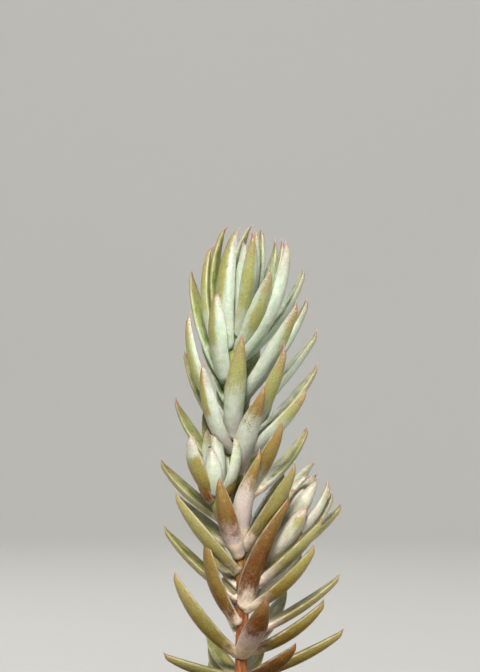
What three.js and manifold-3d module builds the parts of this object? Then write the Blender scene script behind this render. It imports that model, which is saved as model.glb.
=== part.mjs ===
// A potted european stonecrop: one upright leafy shoot with two young side shoots, rooted in gritty
// soil in a plain clay pot. Millimetres, +Z up, the origin at the middle of the pot's underside.
// The front is -Y. Azimuths are degrees about the stem: 0 to the front, 90 to +X, 180 to the back.

import * as THREE from 'three';
import { mergeVertices } from 'three/addons/utils/BufferGeometryUtils.js';
import Module from 'manifold-3d';

const wasm = await Module();
wasm.setup();

// Pot
const POT_HEIGHT = 46;
const POT_RIM_RADIUS = 26;
const POT_RIM_HEIGHT = 11;
const POT_RIM_STEP = 2;
const POT_FOOT_RADIUS = 17.5;
const POT_WALL = 3;
const POT_FLOOR = 3.5;
const POT_EDGE = 1.0;
const POT_BAND_TAPER = 0.6;
const POT_SIDES = 48;
const DRAIN_RADIUS = 4;

// Soil
const SOIL_TOP = 39.5;
const SOIL_DOME = 1.2;
const SOIL_SIDES = 40;
const SOIL_RING_RADII = [7, 14];
const GAP = 0.3;

// Stem: heights are above the middle of the soil, and the shoot sways a little to the side
const STEM_ROOT_DEPTH = 13;
const STEM_SIDES = 8;
const STEM_THIN_RADIUS = 0.8;
const STEM_THICK_RADIUS = 1.15;
const STEM_THICKENS_FROM = 35;
const STEM_THICKENS_OVER = 20;
const STEM_TIP_FROM = 60.5;
const STEM_TIP = 63.5;
const STEM_RINGS = [-STEM_ROOT_DEPTH, 0, 8, 15, 24, 32, 39, 46, 53, 58, STEM_TIP_FROM];
const STEM_SWAY = [
  [-1, 0], [15, 0.1], [24.6, 0.35], [32, 0.05], [39, -0.35],
  [46, -0.9], [53, -1.1], [58, -0.8], [63, 0.05], [67, 0.8],
];

// Leaves: where the rings of a leaf lie along it, and how its thickness follows its width
const LEAF_RINGS = [0, 0.15, 0.4, 0.67, 0.87];
const LEAF_SIDES = 6;
const LEAF_STEPS = 12;
const LEAF_THICKNESS = 0.35;
const LEAF_THICKNESS_PER_WIDTH = 0.42;
const LEAF_KEEL_SHARE = 0.72;
const LEAF_SUNK = 0.35;
const LEAF_FOOT_WIDTH = 0.55;
const LEAF_FOOT_CURVE = 0.6;
const LEAF_TIP_CURVE = 0.85;
const LEAF_FOOT_DEPTH = 0.12;
const LEAF_KEEL_LIMIT = 1.3;
const LEAF_FACE_LIMIT = 0.6;
const SIDE_SHOOT_CLEARANCE = 0.42;

// Where the eye stands that sees the front leaves' tips at the places given below
const EYE = new THREE.Vector3(0, -373, 99.3);

// Leaves of the main shoot that the front shows, from the lowest up: those that come towards the eye
// and those that lean away from it. Each row is the height of the leaf's foot, how far to the side
// and how high the eye sees its tip at the stem's distance, the reach from the stem to the tip, half
// of the angle that the leaf bends inwards along its length, its width and, where it also bends
// sideways, half that angle. Heights are above the soil, and +X is the right side.
const NEAR_LEAVES = [
  [14.5, -10.4, 17.4, 14, 4, 2.8], [14.5, 7.7, 18.8, 14, 10, 3.1], [14.5, 14.2, 20.7, 16.6, 6, 3],
  [17.5, -9, 28.5, 16.5, 13, 3.1], [17.8, 11.5, 24.7, 14.5, 14, 3.2],
  [17.5, 3.5, 25.1, 13.5, 10, 3.4], [21.5, -4.5, 33.1, 13.2, 18, 2.9],
  [23.5, 10.1, 32.1, 14.5, 14, 3.1], [23, 6.6, 38.7, 18.2, -8, 3.3, 34], [26, 11.3, 35.7, 15.5, 8, 3],
  [28.5, -8.8, 39.1, 15.8, 7, 2.7], [30.5, -2.8, 41.1, 13, 14, 3], [31.5, 7.5, 43, 16, 8, 3],
  [32, 3, 44.7, 15, 4, 2.8, 34], [38, 5.7, 48.5, 14.5, 8, 2.8], [41.5, 3.4, 53.4, 15, 4, 3.1, 14],
  [43.5, 9, 53, 15, 10, 3.1], [44.5, -5, 56.4, 14, 22, 2.6], [45, 6.1, 58.6, 16.5, 10, 3],
  [46, 0.6, 60.3, 16, 8, 2.9, 20], [48.5, -6.8, 63.1, 15.9, 22, 2.4], [50.5, 7.8, 64.5, 18, 6, 3.2],
  [53.5, -2.9, 66.1, 12.8, 14, 3.3], [56.5, 6.4, 72.7, 18.1, 18, 3], [57.5, 4.2, 68.8, 13.6, 6, 3.1],
  [59, 1.8, 73.9, 15.6, 8, 2.5], [60.5, 2.2, 74.1, 14, 8, 2.3],
];
const AWAY_LEAVES = [
  [14, -4.5, 20.1, 12, 4, 2.4], [20, 13.6, 28.1, 15.8, 8, 2.8], [23.5, 8.4, 30.7, 13, 6, 2.8],
  [24.8, -10.4, 34.5, 15, 4, 2.8], [28.5, 13.9, 37.6, 17, 12, 3], [31.5, -8.2, 38.4, 14.5, 5, 3],
  [34.5, -10.9, 43.4, 15, 8, 3], [38, 9.2, 47.8, 15.5, 12, 3], [40.5, -8.8, 51.7, 15.2, 12, 2.4],
  [44.5, 10.6, 56.2, 17, 8, 3.1], [45.5, -7.6, 57.9, 16, 5, 2.8], [48, 10.6, 60.6, 17.4, 3, 3],
  [51, 9.2, 65, 17.5, 8, 3], [53.5, -6.6, 68.8, 17.4, 14, 2.6], [56.5, 8.8, 69, 16.5, 12, 2.8],
  [57.5, 5.8, 72.9, 17, 12, 2.6], [58, 4.8, 72.8, 16.5, 12, 2.4], [60.3, 2.9, 74.4, 14.7, 10, 2.4],
];

// Leaves that close over the growing point. Each row is the foot's height, the azimuth, the length,
// the lean from upright at mid-length, half of the inward bend and the width.
const CLOSING_LEAVES = [
  [56, -95, 16.6, 7, 20, 2.4], [57.5, -45, 17.5, -6, 21, 3.3], [58, -115, 17.3, 1, 24, 2.4],
  [60, -45, 12.5, -11, 14, 2.2], [60, -120, 15.3, -12, 16, 2.4],
];

// Leaves on the far side, each by its foot's height and azimuth. They have the size that is usual
// at their height.
const FAR_LEAVES = [
  [11, -160], [13.5, 165], [17.5, 150], [20, -170], [24, 165], [26.5, -150], [28.5, 178],
  [31.5, 150], [34, -160], [36, 165], [38.5, -155], [41, 175], [43.5, 148], [46, -172],
  [48.5, 160], [51, -155], [53, 172], [55.5, -170],
];
const USUAL_LENGTH = 13.5;
const USUAL_LENGTHENING = 0.06;
const USUAL_LEAN = 64;
const USUAL_STRAIGHTENING = [0.3, 0.0062];
const USUAL_WIDTH = 3;
const USUAL_BEND = 11;

// Leaves on the lowest stem follow the spiral that such a shoot grows in
const SPIRAL_TURN = 137.5;
const SPIRAL_FIRST = 3;
const SPIRAL_RISE = 0.72;
const SPIRAL_LEAVES = 9;

// Young leaves closed over the growing point
const BUD_LEAVES = 8;
const BUD_FIRST = 61;
const BUD_AZIMUTH = 25;
const BUD_RISE = 0.32;
const BUD_LENGTH = 11.8;
const BUD_LEAN = 6;
const BUD_BEND = 10;
const BUD_WIDTHS = [1.2, 2.4];

// Side shoots. The root is the height on the main stem, the base is where the first leaves stand,
// measured from the middle of the soil, and the leaves' heights are measured along the axis from it.
const LEFT_SIDE_SHOOT = {
  root: 32,
  base: [-3.1, -2, 38.4],
  axis: [-0.1, -0.16, 0.98],
  length: 3.6,
  leaves: [
    [0.6, -50, 9.4, 16, 24, 2.9], [0.4, 62, 9, 21, 26, 2.3], [-0.6, -52, 5.4, 18, 24, 1.7],
    [-0.6, 60, 5.4, 26, 22, 1.7], [0.4, 0, 7.2, 6, 28, 2.4], [1, 46, 8, -2, 25, 2.3],
    [1.4, -170, 8.2, 6, 24, 2], [1.2, -100, 6.6, 14, 30, 2], [2, 140, 7.2, 4, 20, 1.8],
    [0.2, 150, 7, 24, 30, 2], [2.6, 10, 3.8, 4, 14, 1.5], [2.7, -160, 4.4, 4, 14, 1.5],
  ],
};
const RIGHT_SIDE_SHOOT = {
  root: 26,
  base: [3.7, 0.5, 31.2],
  axis: [0.56, -0.14, 0.81],
  length: 4.8,
  leaves: [
    [-1.2, 20, 10, 9, 22, 3.1], [0.6, 115, 11.4, 14, 26, 2.4], [1.6, 88, 11.2, 5, 22, 2.6],
    [2, -90, 10, 5, 22, 2.4], [0.3, -62, 9.4, 10, 24, 2.3], [1.4, -145, 12.4, 10, 24, 2.3],
    [2.4, -170, 10, 8, 18, 2.1], [2.8, 10, 9.2, -4, 14, 2.1], [-0.4, 160, 9.4, 20, 24, 2.3],
    [-2.4, 62, 8, 16, 22, 2.2], [3.2, -100, 6.8, 2, 10, 1.6], [3.2, 100, 6.8, 2, 10, 1.6],
  ],
};
const SIDE_STEM_THICK_RADIUS = 0.85;
const SIDE_STEM_THIN_RADIUS = 0.55;
const SIDE_STEM_SIDES = 7;
const SIDE_STEM_STEPS = 7;
const SIDE_STEM_ELBOW = 0.45;
const UP = new THREE.Vector3(0, 0, 1);

function radians(degrees) {
  return degrees * Math.PI / 180;
}

function degrees(angle) {
  return angle * 180 / Math.PI;
}

function material(color, roughness) {
  return new THREE.MeshStandardMaterial({ color, roughness, metalness: 0 });
}

// A closed solid from a three.js geometry
function solidOf(geometry) {
  const bare = geometry.index ? geometry.toNonIndexed() : geometry.clone();
  bare.deleteAttribute('normal');
  bare.deleteAttribute('uv');
  const merged = mergeVertices(bare, 1e-4);
  const solid = new wasm.Manifold(new wasm.Mesh({
    numProp: 3,
    vertProperties: new Float32Array(merged.attributes.position.array),
    triVerts: new Uint32Array(merged.index.array),
  }));
  return solid;
}

// The largest closed body of a solid, so that loose scraps and sealed hollows are left behind
function largestBody(solid) {
  const mesh = solid.getMesh();
  const parent = Array.from({ length: mesh.numVert }, (_, i) => i);
  const root = (i) => {
    while (parent[i] !== i) {
      parent[i] = parent[parent[i]];
      i = parent[i];
    }
    return i;
  };
  const corners = mesh.triVerts;
  for (let i = 0; i < corners.length; i += 3) {
    parent[root(corners[i])] = root(corners[i + 1]);
    parent[root(corners[i + 1])] = root(corners[i + 2]);
  }
  const point = (i) => new THREE.Vector3().fromArray(mesh.vertProperties, i * mesh.numProp);
  const volumes = new Map();
  for (let i = 0; i < corners.length; i += 3) {
    const [a, b, c] = [point(corners[i]), point(corners[i + 1]), point(corners[i + 2])];
    const body = root(corners[i]);
    volumes.set(body, (volumes.get(body) ?? 0) + a.dot(b.cross(c)) / 6);
  }
  const largest = [...volumes.entries()].sort((p, q) => q[1] - p[1])[0][0];
  const kept = [];
  for (let i = 0; i < corners.length; i += 3) {
    if (root(corners[i]) === largest) {
      kept.push(corners[i], corners[i + 1], corners[i + 2]);
    }
  }
  const geometry = new THREE.BufferGeometry();
  geometry.setAttribute('position', new THREE.BufferAttribute(mesh.vertProperties.slice(), 3));
  geometry.setIndex(kept);
  return geometry;
}

// A closed skin over rings of points, with the last ring drawn to a point if a tip is given
function skinOver(rings, tip) {
  const sides = rings[0].length;
  const points = rings.flat();
  const faces = [];
  for (let i = 0; i + 1 < rings.length; i += 1) {
    for (let j = 0; j < sides; j += 1) {
      const a = i * sides + j;
      const b = i * sides + (j + 1) % sides;
      faces.push(a, b, b + sides, a, b + sides, a + sides);
    }
  }
  for (let j = 1; j + 1 < sides; j += 1) {
    faces.push(0, j + 1, j);
  }
  const last = (rings.length - 1) * sides;
  if (tip) {
    points.push(tip);
    for (let j = 0; j < sides; j += 1) {
      faces.push(last + j, last + (j + 1) % sides, points.length - 1);
    }
  } else {
    for (let j = 1; j + 1 < sides; j += 1) {
      faces.push(last, last + j, last + j + 1);
    }
  }
  const geometry = new THREE.BufferGeometry().setFromPoints(points);
  geometry.setIndex(faces);
  return geometry;
}

// A round profile of [radius, height] points turned about the upright axis
function turned(profile, sides) {
  const points = profile.map(([radius, height]) => new THREE.Vector2(radius, height));
  const geometry = new THREE.LatheGeometry(points, sides);
  geometry.rotateX(Math.PI / 2);
  return geometry;
}

// Smooth curve through the sway points
function sway(height) {
  const points = STEM_SWAY;
  let i = 0;
  while (i < points.length - 2 && points[i + 1][0] < height) {
    i += 1;
  }
  const slope = (j) => {
    const [below, above] = [points[Math.max(j - 1, 0)], points[Math.min(j + 1, points.length - 1)]];
    return (above[1] - below[1]) / (above[0] - below[0]);
  };
  const span = points[i + 1][0] - points[i][0];
  const t = THREE.MathUtils.clamp((height - points[i][0]) / span, 0, 1);
  return (2 * t ** 3 - 3 * t ** 2 + 1) * points[i][1]
    + (t ** 3 - 2 * t ** 2 + t) * span * slope(i)
    + (3 * t ** 2 - 2 * t ** 3) * points[i + 1][1]
    + (t ** 3 - t ** 2) * span * slope(i + 1);
}

function stemRadius(height) {
  const share = THREE.MathUtils.clamp((height - STEM_THICKENS_FROM) / STEM_THICKENS_OVER, 0, 1);
  return STEM_THIN_RADIUS + (STEM_THICK_RADIUS - STEM_THIN_RADIUS) * share;
}

function circle(centre, turn, radius, sides) {
  return Array.from({ length: sides }, (_, j) => {
    const angle = 2 * Math.PI * j / sides;
    const arm = new THREE.Vector3(Math.cos(angle), Math.sin(angle), 0).multiplyScalar(radius);
    return arm.applyQuaternion(turn).add(centre);
  });
}

// Half of a leaf's width, as a share of its full half width, at the share t of its length
function fullness(t) {
  const swell = Math.sin(Math.PI * t);
  if (t >= 0.5) {
    return swell ** LEAF_TIP_CURVE;
  }
  return LEAF_FOOT_WIDTH + (1 - LEAF_FOOT_WIDTH) * swell ** LEAF_FOOT_CURVE;
}

function leafThickness(t) {
  return Math.sqrt(Math.max(0, Math.sin(Math.PI * (LEAF_FOOT_DEPTH + (1 - LEAF_FOOT_DEPTH) * t))));
}

// One leaf: a slim pointed blade that bends as it grows, nearly flat on its upper face and keeled
// below. Its row is the foot's height, the azimuth, the length, the lean from upright at mid-length,
// the bend, the width and the swing. Its foot is sunk in the stem. It can be grown all round, to cut
// room for itself.
function leafSolid(foot, turn, footRadius, [, azimuth, length, lean, bend, width, swing = 0], grow = 0) {
  const pitch = (t) => radians(lean + bend * (1 - 2 * t));
  const heading = (t) => radians(azimuth + swing * (2 * t - 1));
  const outward = (t) => new THREE.Vector3(Math.sin(heading(t)), -Math.cos(heading(t)), 0);
  const across = (t) => new THREE.Vector3(Math.cos(heading(t)), Math.sin(heading(t)), 0);
  const middle = (t) => {
    const point = outward(0.5).multiplyScalar(footRadius - LEAF_SUNK);
    const step = t * length / LEAF_STEPS;
    for (let i = 0; i < LEAF_STEPS; i += 1) {
      const along = t * (i + 0.5) / LEAF_STEPS;
      point.addScaledVector(outward(along), step * Math.sin(pitch(along)));
      point.addScaledVector(UP, step * Math.cos(pitch(along)));
    }
    return point;
  };
  const thickness = LEAF_THICKNESS + LEAF_THICKNESS_PER_WIDTH * width;
  const place = (local) => local.applyQuaternion(turn).add(foot);
  const rings = LEAF_RINGS.map((t) => {
    const upperFace = outward(t).multiplyScalar(-Math.cos(pitch(t)))
      .addScaledVector(UP, Math.sin(pitch(t)));
    const halfWidth = width * fullness(t) / 2;
    const depth = thickness * leafThickness(t);
    const below = Math.min(depth * LEAF_KEEL_SHARE, halfWidth * LEAF_KEEL_LIMIT);
    const above = Math.min(depth * (1 - LEAF_KEEL_SHARE), halfWidth * LEAF_FACE_LIMIT);
    return Array.from({ length: LEAF_SIDES }, (_, j) => {
      const angle = 2 * Math.PI * j / LEAF_SIDES;
      const raised = Math.sin(angle) > 0 ? above : below;
      return place(middle(t)
        .addScaledVector(across(t), Math.cos(angle) * (halfWidth + grow))
        .addScaledVector(upperFace, Math.sin(angle) * (raised + grow)));
    });
  });
  return solidOf(skinOver(rings, place(middle(1 + grow / length))));
}

// The main stem's direction at a height, as a turn from upright
function stemTurn(height) {
  const direction = new THREE.Vector3((sway(height + 1) - sway(height - 1)) / 2, 0, 1).normalize();
  return new THREE.Quaternion().setFromUnitVectors(UP, direction);
}

function stemPoint(height) {
  return new THREE.Vector3(sway(height), 0, SOIL_TOP + height);
}

function mainStemSolid(grow = 0) {
  const rings = STEM_RINGS.map((height) => (
    circle(stemPoint(height), stemTurn(height), stemRadius(height) + grow, STEM_SIDES)
  ));
  return solidOf(skinOver(rings, stemPoint(STEM_TIP + grow)));
}

// How much shorter than itself a line is from end to end when it bends evenly by twice an angle
function drawnIn(halfBend) {
  return halfBend === 0 ? 1 : Math.sin(radians(halfBend)) / radians(halfBend);
}

// The azimuth, length and lean of a leaf that is given by where its tip is seen. The side is 1 for
// a leaf that comes towards the eye and -1 for one that leans away.
function seenLeaf([height, aside, tipHeight, reach, bend, width, swing = 0], side) {
  const seen = new THREE.Vector3(aside, 0, SOIL_TOP + tipHeight);
  const sight = EYE.clone().sub(seen).normalize();
  const arm = seen.sub(stemPoint(height));
  const along = sight.dot(arm);
  const depth = Math.sqrt(Math.max(0, along ** 2 - arm.lengthSq() + reach ** 2));
  arm.addScaledVector(sight, side * depth - along);
  const outwards = (Math.hypot(arm.x, arm.y) - stemRadius(height) + LEAF_SUNK) / drawnIn(swing);
  const azimuth = degrees(Math.atan2(arm.x, -arm.y));
  const length = Math.hypot(outwards, arm.z) / drawnIn(bend);
  return [height, azimuth, length, degrees(Math.atan2(outwards, arm.z)), bend, width, swing];
}

// The row of a leaf of usual size for its height
function usualLeaf(height, azimuth) {
  const [evenly, faster] = USUAL_STRAIGHTENING;
  const length = USUAL_LENGTH + USUAL_LENGTHENING * height;
  const lean = USUAL_LEAN - evenly * height - faster * height ** 2;
  return [height, azimuth, length, lean, USUAL_BEND, USUAL_WIDTH];
}

// Every leaf of the main shoot as a row for leafSolid
function mainShootLeaves() {
  const rows = [
    ...NEAR_LEAVES.map((row) => seenLeaf(row, 1)),
    ...AWAY_LEAVES.map((row) => seenLeaf(row, -1)),
    ...CLOSING_LEAVES,
    ...FAR_LEAVES.map(([height, azimuth]) => usualLeaf(height, azimuth)),
  ];
  for (let i = 0; i < SPIRAL_LEAVES; i += 1) {
    rows.push(usualLeaf(SPIRAL_FIRST + SPIRAL_RISE * i, SPIRAL_TURN * i - 180));
  }
  for (let i = 0; i < BUD_LEAVES; i += 1) {
    const size = 1 - i / (BUD_LEAVES + 2);
    const height = BUD_FIRST + BUD_RISE * i;
    const width = THREE.MathUtils.lerp(...BUD_WIDTHS, size);
    rows.push([height, BUD_AZIMUTH + SPIRAL_TURN * i, BUD_LENGTH * size, BUD_LEAN * size, BUD_BEND, width]);
  }
  return rows;
}

function mainShootSolid(grow = 0) {
  let solid = mainStemSolid(grow);
  const upright = new THREE.Quaternion();
  for (const row of mainShootLeaves()) {
    const [height] = row;
    solid = solid.add(leafSolid(stemPoint(height), upright, stemRadius(height), row, grow));
  }
  return solid;
}

// A side shoot: a short stem that bends up out of a leaf's foot, with its own leaves about it
function sideShootSolid({ root, base, axis, length, leaves }) {
  const direction = new THREE.Vector3(...axis).normalize();
  const turn = new THREE.Quaternion().setFromUnitVectors(UP, direction);
  const from = stemPoint(root);
  const bottom = new THREE.Vector3(...base).add(new THREE.Vector3(0, 0, SOIL_TOP));
  const top = bottom.clone().addScaledVector(direction, length);
  const elbow = bottom.clone().addScaledVector(direction, -SIDE_STEM_ELBOW * bottom.distanceTo(from));
  const bend = new THREE.QuadraticBezierCurve3(from, elbow, bottom);
  const slim = (along) => THREE.MathUtils.lerp(SIDE_STEM_THICK_RADIUS, SIDE_STEM_THIN_RADIUS, along);
  const rings = Array.from({ length: SIDE_STEM_STEPS }, (_, i) => {
    const along = i / (SIDE_STEM_STEPS - 1);
    const tangentTurn = new THREE.Quaternion().setFromUnitVectors(UP, bend.getTangent(along));
    return circle(bend.getPoint(along), tangentTurn, SIDE_STEM_THICK_RADIUS, SIDE_STEM_SIDES);
  });
  rings.push(circle(top, turn, SIDE_STEM_THIN_RADIUS, SIDE_STEM_SIDES));
  let solid = solidOf(skinOver(rings, top.clone().addScaledVector(direction, 1)));
  for (const row of leaves) {
    const [height] = row;
    const foot = bottom.clone().addScaledVector(direction, height);
    const leaf = leafSolid(foot, turn, slim(THREE.MathUtils.clamp(height / length, 0, 1)), row);
    solid = solid.add(leaf);
  }
  return solid;
}

// A plain clay pot with a rim band, a slightly rounded lip and a drain hole
function potGeometry() {
  const wallRadius = POT_RIM_RADIUS - POT_RIM_STEP;
  const bandFoot = POT_HEIGHT - POT_RIM_HEIGHT;
  const slope = (wallRadius - POT_FOOT_RADIUS) / bandFoot;
  const bandFootRadius = POT_RIM_RADIUS - POT_BAND_TAPER;
  const profile = [
    [DRAIN_RADIUS, 0],
    [POT_FOOT_RADIUS - POT_EDGE, 0],
    [POT_FOOT_RADIUS + slope * POT_EDGE, POT_EDGE],
    [wallRadius, bandFoot],
    [bandFootRadius, bandFoot + POT_EDGE],
    [POT_RIM_RADIUS, POT_HEIGHT - POT_EDGE],
    [POT_RIM_RADIUS - POT_EDGE, POT_HEIGHT],
    [innerRadius(POT_HEIGHT) + POT_EDGE, POT_HEIGHT],
    [innerRadius(POT_HEIGHT - POT_EDGE), POT_HEIGHT - POT_EDGE],
    [innerRadius(POT_FLOOR), POT_FLOOR],
    [DRAIN_RADIUS, POT_FLOOR],
    [DRAIN_RADIUS, 0],
  ];
  return turned(profile, POT_SIDES);
}

// Radius of the pot's inside at a height above its underside
function innerRadius(height) {
  const top = POT_RIM_RADIUS - POT_RIM_STEP - POT_WALL + POT_BAND_TAPER;
  const bottom = POT_FOOT_RADIUS - POT_WALL;
  return bottom + (top - bottom) * (height - POT_FLOOR) / (POT_HEIGHT - POT_FLOOR);
}

// Gritty soil: it fills the pot up to a hand's edge below the lip and is heaped round the stem,
// which stands in a plain hole
function soilGeometry() {
  const holeRadius = STEM_THIN_RADIUS + GAP;
  const holeFloor = SOIL_TOP - STEM_ROOT_DEPTH - GAP;
  const edgeHeight = SOIL_TOP - SOIL_DOME;
  const bottom = POT_FLOOR + GAP;
  const domeAt = (radius) => edgeHeight + SOIL_DOME * (1 - (radius / innerRadius(edgeHeight)) ** 2);
  const profile = [
    [0, holeFloor],
    [holeRadius, holeFloor],
    [holeRadius, domeAt(holeRadius)],
    ...SOIL_RING_RADII.map((radius) => [radius, domeAt(radius)]),
    [innerRadius(edgeHeight) - GAP, edgeHeight],
    [innerRadius(bottom) - GAP, bottom],
    [0, bottom],
  ];
  return turned(profile.reverse(), SOIL_SIDES);
}

function meshNamed(name, geometry, surface) {
  const mesh = new THREE.Mesh(geometry, surface);
  mesh.name = name;
  return mesh;
}

const clay = material(0xb5673f, 0.85);
const earth = material(0x4a3a2c, 0.95);
const matureLeaf = material(0x9fb07a, 0.5);
const youngLeaf = material(0xc6d3b4, 0.5);

const roomForMainShoot = mainShootSolid(SIDE_SHOOT_CLEARANCE);
const group = new THREE.Group();
group.add(meshNamed('pot', potGeometry(), clay));
group.add(meshNamed('soil', soilGeometry(), earth));
group.add(meshNamed('main_shoot', largestBody(mainShootSolid()), matureLeaf));
group.add(meshNamed(
  'left_side_shoot',
  largestBody(sideShootSolid(LEFT_SIDE_SHOOT).subtract(roomForMainShoot)),
  youngLeaf,
));
group.add(meshNamed(
  'right_side_shoot',
  largestBody(sideShootSolid(RIGHT_SIDE_SHOOT).subtract(roomForMainShoot)),
  youngLeaf,
));

export default group;
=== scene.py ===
import math

import bmesh
import bpy
import numpy as np
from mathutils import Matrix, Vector


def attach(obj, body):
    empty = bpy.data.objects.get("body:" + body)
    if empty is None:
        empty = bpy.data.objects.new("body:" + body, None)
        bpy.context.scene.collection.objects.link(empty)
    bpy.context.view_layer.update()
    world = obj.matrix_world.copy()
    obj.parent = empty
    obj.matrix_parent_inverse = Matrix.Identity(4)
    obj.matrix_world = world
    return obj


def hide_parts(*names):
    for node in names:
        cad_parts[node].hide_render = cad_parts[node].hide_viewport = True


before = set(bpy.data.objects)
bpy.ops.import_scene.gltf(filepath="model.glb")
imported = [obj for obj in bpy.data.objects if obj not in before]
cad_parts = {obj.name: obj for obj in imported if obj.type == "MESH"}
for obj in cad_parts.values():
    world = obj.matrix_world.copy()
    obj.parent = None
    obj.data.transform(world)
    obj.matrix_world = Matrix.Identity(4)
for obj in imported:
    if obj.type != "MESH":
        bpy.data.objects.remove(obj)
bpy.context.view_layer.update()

METRES = 0.001
UP = np.array([0.0, 0.0, 1.0])
FULL_TURN = 2 * np.pi
rng = np.random.default_rng(7)

# Pot, as in the solids
POT_HEIGHT = 46
POT_RIM_RADIUS = 26
POT_RIM_HEIGHT = 11
POT_RIM_STEP = 2
POT_FOOT_RADIUS = 17.5
POT_WALL = 3
POT_FLOOR = 3.5
POT_EDGE = 1
POT_BAND_TAPER = 0.6
DRAIN_RADIUS = 4

# Soil, as in the solids
SOIL_TOP = 39.5
SOIL_DOME = 1.2
GAP = 0.3

# Stem, as in the solids: heights are above the middle of the soil
STEM_ROOT_DEPTH = 13
STEM_THIN_RADIUS = 0.8
STEM_THICK_RADIUS = 1.15
STEM_THICKENS_FROM = 35
STEM_THICKENS_OVER = 20
STEM_TIP_FROM = 60.5
STEM_TIP = 63.5
STEM_SWAY = [
    (-1, 0), (15, 0.1), (24.6, 0.35), (32, 0.05), (39, -0.35),
    (46, -0.9), (53, -1.1), (58, -0.8), (63, 0.05), (67, 0.8),
]
SIDE_STEM_THICK_RADIUS = 0.85
SIDE_STEM_THIN_RADIUS = 0.55
SIDE_STEM_ELBOW = 0.45

# What a stem has beyond the solids: a domed tip, ribs round it and a swell along it, as waves by pace,
# share of the radius and how far they wind from ring to ring
STEM_SIDES = 28
STEM_RING_EVERY = 0.4
STEM_TIP_RINGS = 8
STEM_TIP_BLUNT = 0.02
STEM_RIBS = [(5, 0.03, 0.05), (9, 0.02, -0.08)]
STEM_SWELL = [(0.55, 0.03, 0)]
BENT_RINGS = 24
STRAIGHT_RINGS = 10

# How green stems are: the main one between two heights, a side one all along
STEM_GREENS = (20, 50)
SIDE_STEM_GREEN = 0.75

# Leaves, as in the solids
LEAF_STEPS = 12
LEAF_THICKNESS = 0.35
LEAF_THICKNESS_PER_WIDTH = 0.42
LEAF_KEEL_SHARE = 0.72
LEAF_SUNK = 0.35
LEAF_FOOT_WIDTH = 0.55
LEAF_FOOT_CURVE = 0.6
LEAF_FOOT_DEPTH = 0.12
LEAF_KEEL_LIMIT = 1.3
LEAF_FACE_LIMIT = 0.6

# What a leaf has beyond the solids. Pairs are where a change begins and where it is complete, as
# shares of the length from foot to point.
LEAF_SIDES = 22
BLADE_RINGS = 22
TIP_RINGS = 8
TIP_FROM = 0.88

# An uneven outline, by waves along it whose height is a share of the width
LEAF_TIP_CURVE = 0.75
BLADE_ENDS = 0.972
OUTLINE_WAVES = [(7, 0.025, 0), (17, 0.015, 0)]
WEAVE = 0.07
WEAVE_PACE = 5
WEAVE_STARTS = (0, 0.3)

# A shallow groove along the upper face, and sides that are a little drawn in
GROOVE_DEPTH = 0.45
GROOVE_HALF_WIDTH = 0.4
GROOVE_STARTS = (0.03, 0.2)
GROOVE_ENDS = (0.7, 0.9)
SECTION_CURVE = 1.2

# A fine point, round in section and curled towards the upper face
TIP_ROUNDS = (0.93, 0.97)
POINT_STARTS = (0.84, 0.95)
POINT_RADIUS = 0.12
POINT_TAPER = 0.06
POINT_TAPER_CURVE = 0.7
POINT_BLUNT = 0.08
POINT_CURL = 0.4
POINT_CURL_FROM = 0.92

# A rounded heel under the foot, which starts clear of the stem
HEEL_RINGS = 6
HEEL_TURN = 115
HEEL_CLEAR = 0.1
HEEL_REACH_LIMIT = 1.6
HEEL_SWELL = 0.16
HEEL_SWELL_PACE = 1.4
HEEL_THINNING = 0.25
HEEL_NARROWING = 0.5
FOOT_HALF_DEPTH = 0.3

# Picture, which is 64 by 89.6 mm at the stem, and the eye, level with its middle
PICTURE_HEIGHT = 89.6
SOIL_TO_PICTURE = 15
CAMERA_AWAY = 373
EYE = np.array([0, -CAMERA_AWAY, SOIL_TOP + SOIL_TO_PICTURE + PICTURE_HEIGHT / 2])

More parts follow.
